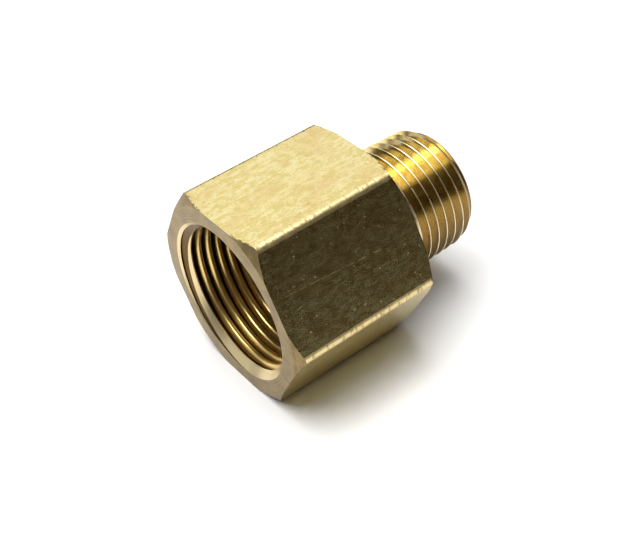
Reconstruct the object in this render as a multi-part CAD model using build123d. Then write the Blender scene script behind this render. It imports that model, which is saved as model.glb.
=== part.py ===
from build123d import *
from math import cos, pi, radians, sin, tan
import os

# A reducing coupling turned from one length of brass hexagon bar: a 3/4 taper pipe
# thread inside the hexagon, a 1/2 taper pipe thread on the spigot, and a waterway right
# through. It lies on one flat of the hexagon. +X runs along the fitting from the female
# end to the male end, Y goes across it, and +Z is up.

# Hexagon
across_flats = 31.75
hex_length = 26.6
hex_corner_radius = 1.0
end_face_radius = 16.4  # outside this the corners of both hexagon ends are chamfered
end_face_angle = 30

# Both threads: 14 to the inch, 60 degrees, radius tapering 1 in 32, right-hand
pitch = 25.4 / 14
taper = 1 / 32
flank_angle = 30
thread_height = 0.8 * pitch
root_flat = 0.06
rim_clearance = 0.05  # the rim of a groove stands this far clear of the metal
first_turn = -1.6  # turns below where the groove is placed, so that no turn starts on a seam
groove_turns = 9
turn_points = 16  # points on each turn of a groove's edges

# Female thread, with depths from the female end face
female_pitch_radius = 25.117 / 2  # at the end face
bore_radius = 12.1
bore_depth = 21.0
countersink_radius = 13.6
countersink_angle = 45
female_full_depth = 9.6
female_vanish_depth = 14.1
female_groove_depth = 2.3  # where a groove passes the side that faces +Y

# Waterway
waterway_radius = 14.29 / 2
drill_point_angle = 59
waterway_chamfer = 0.5

# Male thread, with distances from the shoulder
male_length = 15.9
male_pitch_radius = 19.264 / 2  # at the free end
land_length = 1.3
male_full_distance = 3.2
male_groove_distance = 3.747  # where a groove passes the side that faces +Y
end_chamfer_length = 1.9
end_chamfer_angle = 33

overrun = 1  # how far a cutting shape runs past the metal
length = hex_length + male_length


def male_crest_radius(z):
    return male_pitch_radius + thread_height / 2 + (length - z) * taper


def turned(*corners):
    """A solid turned about Z, from the (radius, z) corners of its half section."""
    outline = Polyline([(radius, 0, z) for radius, z in corners], close=True)
    return revolve(make_face(outline), axis=Axis.Z)


def hexagon():
    section = fillet(RegularPolygon(across_flats / 2, 6, major_radius=False).vertices(), hex_corner_radius)
    rim = across_flats
    rise = (rim - end_face_radius) * tan(radians(end_face_angle))
    ends = turned(
        (0, 0),
        (end_face_radius, 0),
        (rim, rise),
        (rim, hex_length - rise),
        (end_face_radius, hex_length),
        (0, hex_length),
    )
    return extrude(section, hex_length) & ends


def spigot():
    land_end = hex_length + land_length
    land_radius = male_crest_radius(land_end)
    chamfer_start = length - end_chamfer_length
    crest = male_crest_radius(chamfer_start)
    rim = crest - end_chamfer_length * tan(radians(end_chamfer_angle))
    return turned(
        (0, hex_length - overrun),
        (land_radius, hex_length - overrun),
        (land_radius, land_end),
        (crest, chamfer_start),
        (rim, length),
        (0, length),
    )


def passage():
    sink_depth = (countersink_radius - bore_radius) / tan(radians(countersink_angle))
    sink_overrun = overrun * tan(radians(countersink_angle))
    point_depth = (bore_radius - waterway_radius) / tan(radians(drill_point_angle))
    return turned(
        (0, -overrun),
        (countersink_radius + sink_overrun, -overrun),
        (bore_radius, sink_depth),
        (bore_radius, bore_depth),
        (waterway_radius, bore_depth + point_depth),
        (waterway_radius, length - waterway_chamfer),
        (waterway_radius + waterway_chamfer + overrun, length + overrun),
        (0, length + overrun),
    )


def helix_turn(radius_at, offset_at, groove_z, turn):
    """One turn of a line that winds up Z, at a radius and an offset that change with Z."""

    def point(turns):
        z = groove_z + pitch * turns
        angle = 2 * pi * turns
        return Vector(radius_at(z) * cos(angle), radius_at(z) * sin(angle), z + offset_at(z))

    nudge = 1e-4  # in turns, for the slope at each end
    points = [point(turn + i / turn_points) for i in range(turn_points + 1)]
    tangents = [(point(t + nudge) - point(t - nudge)).normalized() for t in (turn, turn + 1)]
    return Edge.make_spline(points, tangents=tangents, scale=False)


def thread_groove(groove_z, root_at, rim_at):
    """A V-shaped groove that winds up Z, from its narrow root out to its rim."""

    def half_width(z):
        return root_flat / 2 + abs(rim_at(z) - root_at(z)) * tan(radians(flank_angle))

    corners = [
        (root_at, lambda z: -root_flat / 2),
        (root_at, lambda z: root_flat / 2),
        (rim_at, half_width),
        (rim_at, lambda z: -half_width(z)),
    ]
    faces = []
    for i in range(groove_turns):
        lines = [helix_turn(radius, offset, groove_z, first_turn + i) for radius, offset in corners]
        faces += [Face.make_surface_from_curves(a, b) for a, b in zip(lines, lines[1:] + lines[:1])]
        if i == 0:
            faces.append(Face(Wire.make_polygon([line @ 0 for line in lines])))
        if i == groove_turns - 1:
            faces.append(Face(Wire.make_polygon([line @ 1 for line in lines])))
    return Solid(Shell(faces))


def fading(full, gone, fade):
    """A groove's root radius as it comes from its full depth out to nothing."""
    fade = min(1, max(0, fade))
    return full + (gone - full) * fade


def female_groove():
    rim = bore_radius - rim_clearance

    def root_at(z):
        full = female_pitch_radius + thread_height / 2 - z * taper
        fade = (z - female_full_depth) / (female_vanish_depth - female_full_depth)
        return fading(full, rim + rim_clearance / 2, fade)

    return thread_groove(female_groove_depth, root_at, lambda z: rim)


def male_groove():
    def rim_at(z):
        return male_crest_radius(z) + rim_clearance

    def root_at(z):
        full = male_crest_radius(z) - thread_height
        distance = z - hex_length
        fade = (male_full_distance - distance) / (male_full_distance - land_length)
        return fading(full, rim_at(z) - rim_clearance / 2, fade)

    return thread_groove(hex_length + male_groove_distance, root_at, rim_at)


def coupling_body():
    body = hexagon() + spigot() - passage()
    return body.solid().cut(female_groove(), male_groove())


lying_on_a_flat = Plane(origin=(-length / 2, 0, across_flats / 2), x_dir=(0, 1, 0), z_dir=(1, 0, 0))

os.makedirs("parts", exist_ok=True)
body = coupling_body().moved(lying_on_a_flat.location)
export_step(body, "parts/coupling_body.step")
print("coupling_body", round(body.volume), "mm3, valid", body.is_valid)
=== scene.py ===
from math import atan2, copysign, cos, floor, hypot, pi, radians, sin, tan

import bmesh
import bpy
from mathutils import Matrix, Vector, noise


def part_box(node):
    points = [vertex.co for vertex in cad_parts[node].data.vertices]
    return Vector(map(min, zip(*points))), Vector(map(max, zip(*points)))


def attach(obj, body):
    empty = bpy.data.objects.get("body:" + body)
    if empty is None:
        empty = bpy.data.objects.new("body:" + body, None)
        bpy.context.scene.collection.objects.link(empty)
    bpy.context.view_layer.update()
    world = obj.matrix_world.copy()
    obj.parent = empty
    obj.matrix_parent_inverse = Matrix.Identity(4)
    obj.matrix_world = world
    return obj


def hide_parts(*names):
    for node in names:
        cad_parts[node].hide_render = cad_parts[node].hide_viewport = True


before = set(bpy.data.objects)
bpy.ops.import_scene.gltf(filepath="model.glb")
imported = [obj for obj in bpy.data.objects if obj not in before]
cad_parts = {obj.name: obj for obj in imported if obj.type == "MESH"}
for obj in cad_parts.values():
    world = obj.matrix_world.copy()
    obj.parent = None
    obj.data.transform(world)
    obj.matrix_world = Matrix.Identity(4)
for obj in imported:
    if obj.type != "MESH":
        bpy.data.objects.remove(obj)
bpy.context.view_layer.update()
lowest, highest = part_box("coupling_body")
boxCentre = (lowest + highest) / 2
print("frame loaded")

# The fitting is modelled in millimetres round the X axis, with its female end at 0.
# setInPlace puts it where the frame says.
millimetre = 0.001
acrossFlats = (highest.z - lowest.z) / millimetre
fullLength = (highest.x - lowest.x) / millimetre
sharpAngle = 26  # edges that turn by more degrees than this are not shaded smooth
cutTolerance = 0.0001

# both threads
pitch = 25.4 / 14
taper = 1 / 32
flankSlope = tan(radians(30))
rootHalf = 0.03  # half the flat at a groove's root


def newObject(name, bm, material):
    bmesh.ops.recalc_face_normals(bm, faces=bm.faces)
    mesh = bpy.data.meshes.new(name)
    bm.to_mesh(mesh)
    bm.free()
    mesh.materials.append(material)
    made = bpy.data.objects.new(name, mesh)
    bpy.context.scene.collection.objects.link(made)
    return made


def everything(bm):
    return bm.verts[:] + bm.edges[:] + bm.faces[:]


# Spins the half section given as (x, radius) points round the X axis. Points with a
# third value are rounded by a bevel of that width first.
def turned(name, section, steps, material):
    bm = bmesh.new()
    points = [bm.verts.new((p[0], 0, p[1])) for p in section]
    for pair in zip(points, points[1:]):
        bm.edges.new(pair)
    for point, p in zip(points, section):
        if len(p) > 2:
            bmesh.ops.bevel(
                bm, geom=[point], affect="VERTICES", offset=p[2], segments=3, profile=0.5, material=-1,
            )
    bmesh.ops.spin(
        bm, geom=bm.verts[:] + bm.edges[:], cent=(0, 0, 0), axis=(1, 0, 0),
        angle=2 * pi, steps=steps, use_merge=True,
    )
    bmesh.ops.remove_doubles(bm, verts=bm.verts, dist=0.0005)
    return newObject(name, bm, material)


# Winds one pitch of a thread section up the X axis and closes both ends with flat caps.
# shape(groove x, distance from the groove) says where a point of the section lies.
def wound(name, steps, offsets, grooveAt, ends, shape, material):
    bm = bmesh.new()
    spareTurns = 2  # past each end, to be cut off
    first = floor((ends[0] - grooveAt) / pitch) - spareTurns
    turns = floor((ends[1] - ends[0]) / pitch) + 2 * spareTurns + 1
    # wound at a radius of 1 first, which shape then changes point by point
    points = [bm.verts.new((grooveAt + first * pitch + d, 1, 0)) for d in offsets]
    for pair in zip(points, points[1:]):
        bm.edges.new(pair)
    bmesh.ops.spin(
        bm, geom=bm.verts[:] + bm.edges[:], cent=(0, 0, 0), axis=(1, 0, 0),
        dvec=(pitch / steps, 0, 0), angle=2 * pi, steps=steps,
    )
    oneTurn = everything(bm)
    for turn in range(1, turns):
        again = bmesh.ops.duplicate(bm, geom=oneTurn)
        copied = [v for v in again["geom"] if isinstance(v, bmesh.types.BMVert)]
        bmesh.ops.translate(bm, verts=copied, vec=(pitch * turn, 0, 0))
    bmesh.ops.remove_doubles(bm, verts=bm.verts, dist=0.002)
    for v in bm.verts:
        angle = atan2(v.co.z, v.co.y)
        wind = grooveAt + pitch * angle / (2 * pi)
        grooveX = wind + pitch * floor((v.co.x - wind) / pitch + 0.5)
        x, radius = shape(grooveX, v.co.x - grooveX)
        v.co = (x, radius * cos(angle), radius * sin(angle))
    for end, outward in zip(ends, (-1, 1)):
        bmesh.ops.bisect_plane(
            bm, geom=everything(bm), dist=cutTolerance,
            plane_co=(end, 0, 0), plane_no=(outward, 0, 0), clear_outer=True,
        )
    rim = [e for e in bm.edges if e.is_boundary]
    bmesh.ops.holes_fill(bm, edges=rim)
    return newObject(name, bm, material)


# The places of a thread section's points, from those on one side of the groove
def bothSides(half):
    return [-pitch / 2] + [-d for d in reversed(half)] + half + [pitch / 2]


# Where a point lies on a groove of this depth: how far to the side, and how deep. away is its
# distance from the middle of a full groove, whose flank ends at flankHalf.
def grooveSection(away, depth, flankHalf, crestRound):
    rounding = min(crestRound, depth)
    edge = rootHalf + (depth - rounding) * flankSlope
    if away <= rootHalf:
        return away, depth
    if away <= flankHalf:
        part = (away - rootHalf) / (flankHalf - rootHalf)
        return rootHalf + (edge - rootHalf) * part, rounding + (depth - rounding) * (1 - part)
    part = (away - flankHalf) / (pitch / 2 - flankHalf)
    return edge + (pitch / 2 - edge) * part, rounding * (1 - part) ** 2


def join(body, other, operation):
    cut = body.modifiers.new(operation, "BOOLEAN")
    cut.operation = operation
    cut.object = other
    cut.solver = "MANIFOLD"
    cut.material_mode = "TRANSFER"
    graph = bpy.context.evaluated_depsgraph_get()
    solid = bpy.data.meshes.new_from_object(body.evaluated_get(graph))
    body.modifiers.clear()
    body.data = solid
    bpy.data.objects.remove(other)


hexBar = {
    "length": 26.6,
    "cornerRadius": 1.0,
    "cornerSteps": 5,
    "overhang": 1.0,
    "nickStrip": 0.35,  # how far the nicks reach on to each flat
    "nickSlices": 200,
    "nickDepth": 0.08,
    "nickFrom": 0.10,  # noise above this makes a nick
    "nickPerMm": 3.2,
    "nickAcrossPerMm": 1.5,
    "nickShift": 7.3,  # takes each corner to another part of the noise
}


def hexagonBar():
    bm = bmesh.new()
    tangentAt = hexBar["cornerRadius"] * tan(pi / 6)
    cornerReach = acrossFlats / 2 / cos(pi / 6)
    bmesh.ops.create_circle(bm, cap_ends=True, segments=6, radius=cornerReach)
    corners = [v.co.normalized() for v in bm.verts]
    bmesh.ops.bevel(
        bm, geom=bm.verts[:], affect="VERTICES", offset=tangentAt,
        segments=hexBar["cornerSteps"], profile=0.5, material=-1,
    )
    # the second cut keeps the nicks' shading off the rest of the flat
    for corner in corners:
        for strip in (hexBar["nickStrip"], hexBar["nickStrip"] * 2):
            bmesh.ops.bisect_plane(
                bm, geom=everything(bm), dist=cutTolerance,
                plane_co=corner * (cornerReach - (tangentAt + strip) / 2), plane_no=corner,
            )
    # the circle lies in XY with two corners on Y: stood across the X axis it has flats up and down
    bmesh.ops.rotate(bm, verts=bm.verts, cent=(0, 0, 0), matrix=Matrix.Rotation(pi / 2, 3, "Y"))
    bmesh.ops.translate(bm, verts=bm.verts, vec=(-hexBar["overhang"], 0, 0))
    barLength = hexBar["length"] + 2 * hexBar["overhang"]
    far = bmesh.ops.extrude_face_region(bm, geom=bm.faces[:])
    farVerts = [v for v in far["geom"] if isinstance(v, bmesh.types.BMVert)]
    bmesh.ops.translate(bm, verts=farVerts, vec=(barLength, 0, 0))
    for i in range(1, hexBar["nickSlices"]):
        sliceX = -hexBar["overhang"] + barLength * i / hexBar["nickSlices"]
        bmesh.ops.bisect_plane(
            bm, geom=everything(bm), dist=cutTolerance, plane_co=(sliceX, 0, 0), plane_no=(1, 0, 0),
        )
    nickTheCorners(bm, hypot(acrossFlats / 2, cornerReach / 2 - tangentAt))
    return newObject("hexBar", bm, materialFor["drawnFlat"])


# tangentReach is how far from the axis the flats end and the rounded corners begin
def nickTheCorners(bm, tangentReach):
    slack = 0.01
    for v in bm.verts:
        reach = hypot(v.co.y, v.co.z)
        if reach > tangentReach - slack:
            corner = round(atan2(v.co.z, v.co.y) / (pi / 3))
            rough = noise.noise(Vector((
                v.co.x * hexBar["nickPerMm"],
                corner * hexBar["nickShift"],
                v.co.y * hexBar["nickAcrossPerMm"],
            )))
            nick = hexBar["nickDepth"] * max(0, rough - hexBar["nickFrom"])
            v.co.y *= 1 - nick / reach
            v.co.z *= 1 - nick / reach


turnedEnds = {
    "faceRadius": 16.4,
    "chamferAngle": 30,
    "outside": 20.0,  # clear of the hexagon's corners
    "edgeRadius": 0.12,
    "steps": 288,
}


def turnedEnvelope():
    outside = turnedEnds["outside"]
    rise = (outside - turnedEnds["faceRadius"]) * tan(radians(turnedEnds["chamferAngle"]))
    edge = turnedEnds["edgeRadius"]
    length = hexBar["length"]
    return turned("turnedEnvelope", [
        (0, 0),
        (0, turnedEnds["faceRadius"], edge),
        (rise, outside),
        (length - rise, outside),
        (length, turnedEnds["faceRadius"], edge),
        (length, 0),
    ], turnedEnds["steps"], materialFor["turnedFace"])


maleThread = {
    "length": 15.9,
    "endCrestRadius": 10.358,
    "height": 1.39,
    "crestRound": 0.04,
    "grooveAt": 3.747,  # from the shoulder, on the side facing +Y
    "fadeFrom": 1.3,  # the groove starts this far from the shoulder
    "fadeTo": 3.2,
    "landFillet": 0.25,
    "overhang": 1.0,
    "steps": 144,  # to a turn
}


def maleThreadedRod():
    thread = maleThread
    shoulder = hexBar["length"]

    def crestRadius(x):
        return thread["endCrestRadius"] + (shoulder + thread["length"] - x) * taper

    land = crestRadius(shoulder + thread["fadeFrom"])
    fillet = thread["landFillet"]
    flankHalf = rootHalf + (thread["height"] - thread["crestRound"]) * flankSlope

    def shape(grooveX, d):
        fade = (grooveX - shoulder - thread["fadeFrom"]) / (thread["fadeTo"] - thread["fadeFrom"])
        depth = thread["height"] * min(1, max(0, fade))
        moved, sink = grooveSection(abs(d), depth, flankHalf, thread["crestRound"])
        x = grooveX + copysign(moved, d)
        radius = min(crestRadius(x), land) - sink
        fromShoulder = max(0, x - shoulder)
        if fromShoulder < fillet:
            radius += fillet * (1 - fromShoulder / fillet) ** 2
        return x, radius

    half = [rootHalf, flankHalf * 0.35, flankHalf * 0.7, flankHalf, (flankHalf + pitch / 2) / 2]
    grooveAt = shoulder + thread["grooveAt"]
    ends = (shoulder - thread["overhang"], shoulder + thread["length"] + thread["overhang"])
    return wound(
        "maleRod", thread["steps"], bothSides(half), grooveAt, ends, shape, materialFor["cutThread"],
    )


spigotEnd = {
    "chamferAngle": 33,
    "rimRadius": 9.13,
    "rimEdge": 0.12,
    "clearance": 2.0,  # outside the thread and inside the hexagon
    "steps": 288,
}


def spigotEnvelope():
    clearance = spigotEnd["clearance"]
    start = hexBar["length"] - clearance
    end = hexBar["length"] + maleThread["length"]
    outside = maleThread["endCrestRadius"] + clearance
    back = (outside - spigotEnd["rimRadius"]) / tan(radians(spigotEnd["chamferAngle"]))
    return turned("spigotEnvelope", [
        (start, 0),
        (start, outside),
        (end - back, outside),
        (end, spigotEnd["rimRadius"], spigotEnd["rimEdge"]),
        (end, 0),
    ], spigotEnd["steps"], materialFor["turnedFace"])


femaleThread = {
    "faceRootRadius": 13.284,
    "boreRadius": 12.1,
    "flankHalf": 0.70,
    "crestRound": 0.14,
    "mouthExtra": 0.30,  # the first thread is cut deeper, so its groove runs out across the countersink
    "mouthReach": 2.0,
    "grooveAt": 2.3,  # below the end face, on the side facing +Y
    "fadeFrom": 14.1,
    "fadeTo": 9.6,
    "overhang": 1.0,
    "depth": 17.9,
    "steps": 160,
}


def femaleThreadedPlug():
    thread = femaleThread
    flankHalf = thread["flankHalf"]

    def shape(grooveX, d):
        fade = (thread["fadeFrom"] - grooveX) / (thread["fadeFrom"] - thread["fadeTo"])
        full = thread["faceRootRadius"] - grooveX * taper - thread["boreRadius"]
        full += thread["mouthExtra"] * max(0, 1 - grooveX / thread["mouthReach"])
        depth = full * min(1, max(0, fade))
        moved, rise = grooveSection(abs(d), depth, flankHalf, thread["crestRound"])
        return grooveX + copysign(moved, d), thread["boreRadius"] + rise

    crestHalf = pitch / 2 - flankHalf
    half = [rootHalf, flankHalf * 0.5] + [flankHalf + crestHalf * part for part in (0, 0.3, 0.6)]
    ends = (-thread["overhang"], thread["depth"])
    return wound(
        "femalePlug", thread["steps"], bothSides(half), thread["grooveAt"], ends, shape,
        materialFor["tappedThread"],
    )


passage = {
    "sinkRadius": 13.6,
    "sinkCoreRadius": 11.5,  # inside the threaded plug, which cuts the wall as far as the plain bore
    "boreRadius": 12.12,
    "boreDepth": 21.0,
    "drillAngle": 59,
    "waterwayRadius": 7.145,
    "waterwayChamfer": 0.5,
    "overhang": 1.0,
    "threadLap": 0.1,  # how far the plain bore laps over the threaded one
    "steps": 320,
}


def passageCore():
    over = passage["overhang"]
    bore, waterway = passage["boreRadius"], passage["waterwayRadius"]
    sink, core = passage["sinkRadius"], passage["sinkCoreRadius"]
    pointDepth = (bore - waterway) / tan(radians(passage["drillAngle"]))
    chamfer = passage["waterwayChamfer"]
    threadEnd = femaleThread["depth"] - passage["threadLap"]
    return turned("passageCore", [
        (-over, 0),
        (-over, sink + over),
        (sink - core, core),
        (threadEnd, core),
        (threadEnd, bore),
        (passage["boreDepth"], bore),
        (passage["boreDepth"] + pointDepth, waterway),
        (fullLength - chamfer, waterway),
        (fullLength + over, waterway + chamfer + over),
        (fullLength + over, 0),
    ], passage["steps"], materialFor["boredWall"])


def setInPlace(body):
    place = Matrix.Translation((lowest.x, boxCentre.y, boxCentre.z)) @ Matrix.Scale(millimetre, 4)
    body.data.transform(place)
    body.data.polygons.foreach_set("use_smooth", [True] * len(body.data.polygons))
    body.data.set_sharp_from_angle(angle=radians(sharpAngle))


# in a closed mesh every edge has two faces
def countOpenEdges(mesh):
    bm = bmesh.new()
    bm.from_mesh(mesh)
    count = sum(1 for e in bm.edges if len(e.link_faces) != 2)
    bm.free()
    return count


class Socket:
    # wraps a node's output so that sums on it add Math nodes
    def __init__(self, tree, output):
        self.tree, self.output = tree, output

    def math(self, operation, *values):
        return self.tree.add("ShaderNodeMath", {"operation": operation}, dict(enumerate((self, *values))))

    def __add__(self, other):
        return self.math("ADD", other)

    def __radd__(self, other):
        return self.math("ADD", other)

    def __sub__(self, other):
        return self.math("SUBTRACT", other)

    def __rsub__(self, other):
        return self.tree.add("ShaderNodeMath", {"operation": "SUBTRACT"}, {0: other, 1: self})

    def __mul__(self, other):
        return self.math("MULTIPLY", other)

    def __rmul__(self, other):
        return self.math("MULTIPLY", other)

    def __truediv__(self, other):
        return self.math("DIVIDE", other)

    def __abs__(self):
        return self.math("ABSOLUTE")


class Tree:
    def __init__(self, owner):
        owner.use_nodes = True
        self.nodes, self.links = owner.node_tree.nodes, owner.node_tree.links
        self.nodes.clear()

    # settings first, then the values or links of the inputs; returns the chosen output
    def add(self, kind, settings=None, inputs=None, out=0):
        node = self.nodes.new(kind)
        for key, value in (settings or {}).items():
            setattr(node, key, value)
        for key, value in (inputs or {}).items():
            if isinstance(value, Socket):
                self.links.new(value.output, node.inputs[key])
            else:
                node.inputs[key].default_value = value
        return Socket(self, node.outputs[out]) if node.outputs else None

    def smooth(self, value, low, high):
        return self.add("ShaderNodeMapRange", {"interpolation_type": "SMOOTHSTEP"}, {
            "Value": value, "From Min": low, "From Max": high,
        })

    def mix(self, factor, a, b):
        first, second = [color if isinstance(color, Socket) else (*color, 1) for color in (a, b)]
        inputs = {0: factor, 6: first, 7: second}
        return self.add("ShaderNodeMix", {"data_type": "RGBA"}, inputs, out=2)


# A metal finish. place is in metres on the object; along, y and z are in millimetres from
# the female end and from the axis, and radius is the distance from the axis.
class Finish(Tree):
    def __init__(self, name):
        self.material = bpy.data.materials.new(name)
        super().__init__(self.material)
        self.place = self.add("ShaderNodeTexCoord", out=3)
        self.along, self.y, self.z = [
            (self.add("ShaderNodeSeparateXYZ", None, {0: self.place}, out=axis) - start) / millimetre
            for axis, start in enumerate((lowest.x, boxCentre.y, boxCentre.z))
        ]
        self.radius = (self.y * self.y + self.z * self.z).math("SQRT")

    # perMm gives how many blots fit in a millimetre along the part and across it
    def noise(self, pattern):
        along, across = [blots / millimetre for blots in pattern["perMm"]]
        scaled = self.add("ShaderNodeMapping", None, {
            "Vector": self.place, "Scale": (along, across, across),
        })
        return self.add("ShaderNodeTexNoise", None, {
            "Vector": scaled, "Scale": 1.0, "Detail": pattern["detail"], "Roughness": 0.55,
        })

    # separate blots, whose outlines fall between the two noise values of edge
    def blots(self, pattern):
        return self.smooth(self.noise(pattern), *pattern["edge"])

    # noise that changes only with the distance from the part's axis
    def rings(self, perMm):
        return self.add("ShaderNodeTexNoise", {"noise_dimensions": "1D"}, {
            "W": self.radius, "Scale": perMm, "Detail": 2, "Roughness": 0.6,
        })

    # depth is in micrometres
    def bump(self, height, depth, normal=None):
        inputs = {"Height": height, "Distance": depth * 1e-6, "Strength": 1.0}
        if normal:
            inputs["Normal"] = normal
        return self.add("ShaderNodeBump", None, inputs)

    def metal(self, color, roughness, normal):
        shader = self.add("ShaderNodeBsdfPrincipled", None, {
            "Base Color": color, "Metallic": 1.0, "Roughness": roughness, "Normal": normal,
        })
        self.add("ShaderNodeOutputMaterial", None, {"Surface": shader})
        return self.material


tarnish = (0.20, 0.14, 0.06)

drawnFlat = {
    "pale": (0.90, 0.79, 0.41),
    "yellow": (0.76, 0.61, 0.22),
    "brown": (0.76, 0.55, 0.22),
    "worn": (0.70, 0.55, 0.28),
    "mottle": {"perMm": (0.8, 1.4), "detail": 4},
    "streak": {"perMm": (0.05, 2.2), "detail": 3},
    "grain": {"perMm": (3.0, 5.0), "detail": 2},
    "pits": {"perMm": (1.3, 1.9), "detail": 2, "edge": (0.72, 0.82)},
    "specks": {"perMm": (2.0, 2.4), "detail": 1, "edge": (0.75, 0.82)},
    "stain": {"perMm": (0.22, 0.30), "detail": 3, "edge": (0.42, 0.66)},
    "strokes": {"perMm": (2.6, 0.7), "detail": 2, "edge": (0.50, 0.66)},
    "chips": {"perMm": (1.5, 1.5), "detail": 2, "edge": (0.50, 0.60)},
    "chipReach": (0.08, 0.40),  # how far the dark chips reach from the end chamfers
    "toneEdge": (0.42, 0.57),
    "wornRadius": (17.86, 18.02),  # the corners are worn from here outwards
    "wornSide": (4, -4),  # the corners on the near side have been handled
    "roughness": 0.15,
}

scratch = {
    "start": 1.15,  # up the flat from its middle line, where the hexagon begins
    "slope": -0.07,
    "half": (0.02, 0.05),  # half the width where the scratch is full and where it ends
    "begins": (1.6, 2.6),
    "ends": (18.0, 21.0),
    "nearSide": (-6, -8),
    "gapEdge": (0.35, 0.55),  # the mottle breaks it up
}


# one long scratch runs along the upper flat on the near side
def scratchAlong(finish, mottle):
    upFlat = finish.y * cos(pi / 3) + finish.z * sin(pi / 3)
    offLine = abs(upFlat - (scratch["start"] + finish.along * scratch["slope"]))
    line = 1 - finish.smooth(offLine, *scratch["half"])
    begun = finish.smooth(finish.along, *scratch["begins"])
    goesOn = 1 - finish.smooth(finish.along, *scratch["ends"])
    near = finish.smooth(finish.y, *scratch["nearSide"])
    return line * begun * goesOn * near * finish.smooth(mottle, *scratch["gapEdge"])


def drawnFlatFinish():
    look = drawnFlat
    finish = Finish("drawnFlat")
    mottle = finish.noise(look["mottle"])
    streak = finish.noise(look["streak"])
    grain = finish.noise(look["grain"])
    pits = finish.blots(look["pits"])
    specks = finish.blots(look["specks"])
    stain = finish.blots(look["stain"])
    scratched = scratchAlong(finish, mottle)
    worn = finish.smooth(finish.radius, *look["wornRadius"]) * finish.smooth(finish.y, *look["wornSide"])
    # short dark strokes cross the worn corners
    strokes = finish.blots(look["strokes"]) * worn
    # dark chips follow the edges of both end chamfers
    chamferAt = (finish.radius - turnedEnds["faceRadius"]) * tan(radians(turnedEnds["chamferAngle"]))
    fromEdge = finish.along.math("MINIMUM", hexBar["length"] - finish.along) - chamferAt
    chips = finish.blots(look["chips"]) * (1 - finish.smooth(fromEdge, *look["chipReach"]))
    tone = finish.smooth(mottle * 0.5 + streak * 0.15 + grain * 0.35, *look["toneEdge"])
    color = finish.mix(tone, look["yellow"], look["pale"])
    color = finish.mix(stain * 0.45, color, look["brown"])
    color = finish.mix(worn * 0.8, color, look["worn"])
    color = finish.mix(strokes * 0.5 + pits * 0.75 + chips * 0.9, color, tarnish)
    roughness = look["roughness"] + mottle * 0.10 + grain * 0.06 + scratched * 0.10
    roughness = roughness + strokes * 0.2 + worn * 0.16 + specks * 0.16
    normal = finish.bump(streak, 4)
    normal = finish.bump(mottle, 9, normal)
    normal = finish.bump(grain, 5, normal)
    normal = finish.bump(pits + scratched * 0.16, -12, normal)
    return finish.metal(color, roughness, normal)


turnedFace = {
    # painted shade: both colours are set far darker than brass, so the turned faces look as dim as a darker
    # reflection would make them; the tone between them varies at random
    "pale": (0.31, 0.228, 0.105),
    "dull": (0.185, 0.13, 0.058),
    "cloud": {"perMm": (0.5, 0.5), "detail": 4},
    "pits": {"perMm": (2.4, 2.4), "detail": 2, "edge": (0.61, 0.68)},
    "ringsPerMm": 5.0,
    "toneEdge": (0.38, 0.62),
    "roughness": 0.30,
}


def turnedFaceFinish():
    look = turnedFace
    finish = Finish("turnedFace")
    cloud = finish.noise(look["cloud"])
    rings = finish.rings(look["ringsPerMm"])
    pits = finish.blots(look["pits"])
    tone = finish.smooth(cloud * 0.55 + rings * 0.45, *look["toneEdge"])
    # painted shade: the darkened colours of the turned faces, mixed by the random tone
    color = finish.mix(tone, look["dull"], look["pale"])
    color = finish.mix(pits * 0.8, color, tarnish)
    normal = finish.bump(rings, 6)
    normal = finish.bump(cloud, 12, normal)
    normal = finish.bump(pits, -20, normal)
    return finish.metal(color, look["roughness"] + cloud * 0.14, normal)


cutThread = {
    "pale": (0.84, 0.69, 0.31),
    "deep": (0.72, 0.51, 0.17),
    "toneEdge": (0.36, 0.62),
    # painted highlight: the pale colour laid along the crests of the thread
    "crest": (0.86, 0.76, 0.52),
    "crestDepth": (0.07, 0.02),  # below the line of the crests, where the painted highlight begins and is full
    "crestGap": (0.2, 0.5),  # the cloud thins the painted highlight
    # dull is painted shade: the colour the thread is darkened to on its lower near side
    "dull": (0.46, 0.34, 0.17),
    "shadedSide": (-0.85, -0.50),  # across and up: the side that is painted darker, as painted shade
    "shadeEdge": (0.45, 1.05),
    "cloud": {"perMm": (0.6, 0.6), "detail": 3},
    "score": {"perMm": (5.0, 0.4), "detail": 2},
    "streak": {"perMm": (0.12, 2.6), "detail": 2},
    "roughness": 0.13,
}


def cutThreadFinish():
    look = cutThread
    finish = Finish("cutThread")
    cloud = finish.noise(look["cloud"])
    score = finish.noise(look["score"])
    streak = finish.noise(look["streak"])
    tone = finish.smooth(cloud * 0.6 + streak * 0.4, *look["toneEdge"])
    color = finish.mix(tone, look["deep"], look["pale"])
    # painted shade: the thread turns darker and browner towards its lower near side, with a streaky edge
    across, up = look["shadedSide"]
    towardShade = (finish.y * across + finish.z * up) / finish.radius
    paintedShade = finish.smooth(towardShade + streak * 0.3, *look["shadeEdge"])
    color = finish.mix(paintedShade, color, look["dull"])
    # painted highlight along the crests, broken up by the cloud
    crestAtFemaleEnd = maleThread["endCrestRadius"] + fullLength * taper
    belowCrest = crestAtFemaleEnd - finish.along * taper - finish.radius
    crest = finish.smooth(belowCrest, *look["crestDepth"]) * finish.smooth(cloud, *look["crestGap"])
    color = finish.mix(crest, color, look["crest"])
    normal = finish.bump(score, 4)
    normal = finish.bump(streak, 5, normal)
    roughness = look["roughness"] + cloud * 0.08 + paintedShade * 0.12 + crest * 0.20
    return finish.metal(color, roughness, normal)


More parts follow.
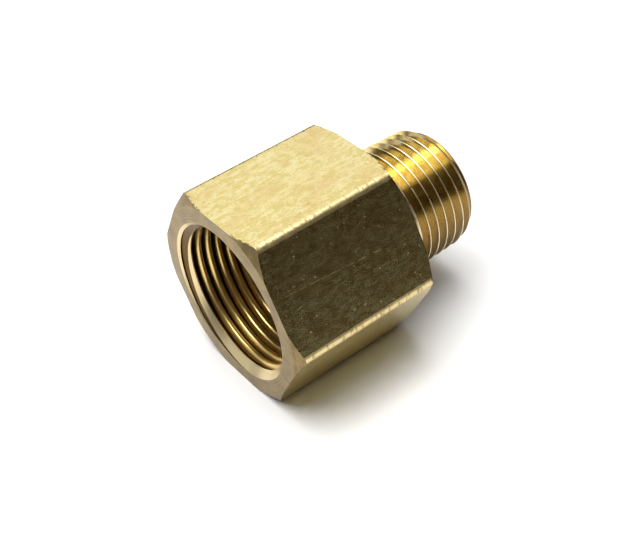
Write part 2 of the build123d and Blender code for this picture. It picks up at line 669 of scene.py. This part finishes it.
tappedThread = {
    # painted light and shade: the crests are painted bright and the flanks nearly black, standing in for the
    # light and shade inside the bore
    "crest": (0.78, 0.58, 0.22),
    "flank": (0.13, 0.078, 0.027),
    "crestRise": 0.045,  # the painted highlight on the crests widens towards the bottom of the bore by this much a millimetre
    "crestEdge": (12.20, 12.62),  # radii between which the painted highlight on the crests gives way to the painted shade on the flanks
    "cloud": {"perMm": (0.8, 0.8), "detail": 3},
    "roughness": 0.24,
}


def tappedThreadFinish():
    look = tappedThread
    finish = Finish("tappedThread")
    cloud = finish.noise(look["cloud"])
    # the edge of the painted highlight on the crests is a little wavy
    edgeRadius = finish.radius + finish.z * look["crestRise"] + cloud * 0.2 - 0.1
    # painted highlight on the crests and painted shade on the flanks
    color = finish.mix(finish.smooth(edgeRadius, *look["crestEdge"]), look["crest"], look["flank"])
    return finish.metal(color, look["roughness"] + cloud * 0.12, finish.bump(cloud, 8))


boredWall = {
    "pale": (0.74, 0.60, 0.34),
    # deep is painted shade for the inside of the bore; the tool rings are also darkened towards it
    "deep": (0.30, 0.20, 0.08),
    "rings": {"perMm": (4.0, 0.2), "detail": 2},
    "ringEdge": (0.55, 0.75),
    "cloud": {"perMm": (0.5, 0.5), "detail": 3},
    "boreShadeDepth": (2.2, 3.4),  # the countersink keeps the pale colour, and the bore behind it is darkened as painted shade
    "roughness": 0.26,
}


def boredWallFinish():
    look = boredWall
    finish = Finish("boredWall")
    cloud = finish.noise(look["cloud"])
    rings = finish.noise(look["rings"])
    # painted shade: the wall darkens from the countersink into the bore
    color = finish.mix(finish.smooth(finish.along, *look["boreShadeDepth"]), look["pale"], look["deep"])
    color = finish.mix(finish.smooth(rings, *look["ringEdge"]) * 0.4, color, look["deep"])
    return finish.metal(color, look["roughness"] + cloud * 0.12, finish.bump(rings, 12))


materialFor = {
    "drawnFlat": drawnFlatFinish(),
    "turnedFace": turnedFaceFinish(),
    "cutThread": cutThreadFinish(),
    "tappedThread": tappedThreadFinish(),
    "boredWall": boredWallFinish(),
}
print("finishes ready")

body = hexagonBar()
join(body, turnedEnvelope(), "INTERSECT")
print("hexagon turned")
spigot = maleThreadedRod()
join(spigot, spigotEnvelope(), "INTERSECT")
join(body, spigot, "UNION")
print("spigot threaded")
join(body, femaleThreadedPlug(), "DIFFERENCE")
join(body, passageCore(), "DIFFERENCE")
print("bored and tapped")
body.name = "couplingBody"
setInPlace(body)
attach(body, "root")
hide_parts("coupling_body")
print("open or crowded edges", countOpenEdges(body.data), "faces", len(body.data.polygons))

studio = {
    "floorSize": 3.0,  # metres from the middle to each side
    "floorColor": (0.90, 0.90, 0.90),
    "floorRoughness": 0.9,
    "floorGloss": 0.1,
    "floorBelow": 0.00001,
    "darkSide": (0.45, -0.85, 0.15),  # the unlit end of the room
    "darkEdge": (0.95, -0.2),  # the dark fades out between these cosines of the angle from darkSide
    "darkColor": (0.021, 0.014, 0.006),
    "paleColor": (0.16, 0.16, 0.16),
}


def paleFloor():
    material = bpy.data.materials.new("paleFloor")
    tree = Tree(material)
    shader = tree.add("ShaderNodeBsdfPrincipled", None, {
        "Base Color": (*studio["floorColor"], 1),
        "Roughness": studio["floorRoughness"],
        "Specular IOR Level": studio["floorGloss"],
    })
    tree.add("ShaderNodeOutputMaterial", None, {"Surface": shader})
    return material


def makeFloor():
    bm = bmesh.new()
    bmesh.ops.create_grid(bm, x_segments=1, y_segments=1, size=studio["floorSize"])
    bmesh.ops.translate(bm, verts=bm.verts, vec=(0, 0, lowest.z - studio["floorBelow"]))
    newObject("floor", bm, paleFloor())


# distances and sizes in metres, power in watts
lights = {
    "keySoftbox": {"direction": (-0.15, 0.13, 0.98), "distance": 0.80, "size": (0.72, 0.72), "power": 10.2},
    "backSoftbox": {"direction": (0.42, 0.62, 0.66), "distance": 0.75, "size": (0.55, 0.42), "power": 0.64},
    "topSoftbox": {"direction": (0.42, -0.02, 0.90), "distance": 0.75, "size": (0.56, 0.56), "power": 1.20},
    "sideSoftbox": {"direction": (-0.74, 0.52, 0.38), "distance": 0.70, "size": (0.55, 0.50), "power": 0.50},
}


def makeLight(name, light):
    data = bpy.data.lights.new(name, "AREA")
    data.shape = "RECTANGLE"
    data.size, data.size_y = light["size"]
    data.energy = light["power"]
    made = bpy.data.objects.new(name, data)
    direction = Vector(light["direction"]).normalized()
    made.location = boxCentre + direction * light["distance"]
    made.rotation_mode = "QUATERNION"
    made.rotation_quaternion = direction.to_track_quat("Z", "Y")
    bpy.context.scene.collection.objects.link(made)


# angles in degrees, lens and sensor in millimetres, the rest in metres
view = {
    "azimuth": -34.38,
    "elevation": 41.26,
    "roll": -6.35,
    "distance": 0.1837,
    "aimFromCentre": (-0.00497, -0.00198, -0.00160),
    "lens": 65.3,
    "sensor": 36,
    "clip": (0.01, 10),
}


def makeCamera():
    azimuth, elevation = radians(view["azimuth"]), radians(view["elevation"])
    back = Vector((sin(azimuth) * cos(elevation), -cos(azimuth) * cos(elevation), sin(elevation)))
    data = bpy.data.cameras.new("camera")
    data.sensor_width, data.lens = view["sensor"], view["lens"]
    data.clip_start, data.clip_end = view["clip"]
    made = bpy.data.objects.new("camera", data)
    made.location = boxCentre + Vector(view["aimFromCentre"]) + back * view["distance"]
    level = back.to_track_quat("Z", "Y").to_matrix()
    made.rotation_euler = (level @ Matrix.Rotation(radians(view["roll"]), 3, "Z")).to_euler()
    bpy.context.scene.collection.objects.link(made)
    bpy.context.scene.camera = made


def makeWorld():
    world = bpy.data.worlds.new("studio")
    tree = Tree(world)
    toward = tree.add("ShaderNodeTexCoord")
    dark = Vector(studio["darkSide"]).normalized()
    facing = tree.add("ShaderNodeVectorMath", {"operation": "DOT_PRODUCT"}, {0: toward, 1: dark}, out=1)
    away = tree.smooth(facing, *studio["darkEdge"])
    color = tree.mix(away, studio["darkColor"], studio["paleColor"])
    background = tree.add("ShaderNodeBackground", None, {"Color": color})
    tree.add("ShaderNodeOutputWorld", None, {"Surface": background})
    bpy.context.scene.world = world
    bpy.context.scene.view_settings.view_transform = "Standard"


makeFloor()
for name, light in lights.items():
    makeLight(name, light)
makeCamera()
makeWorld()
print("studio set")
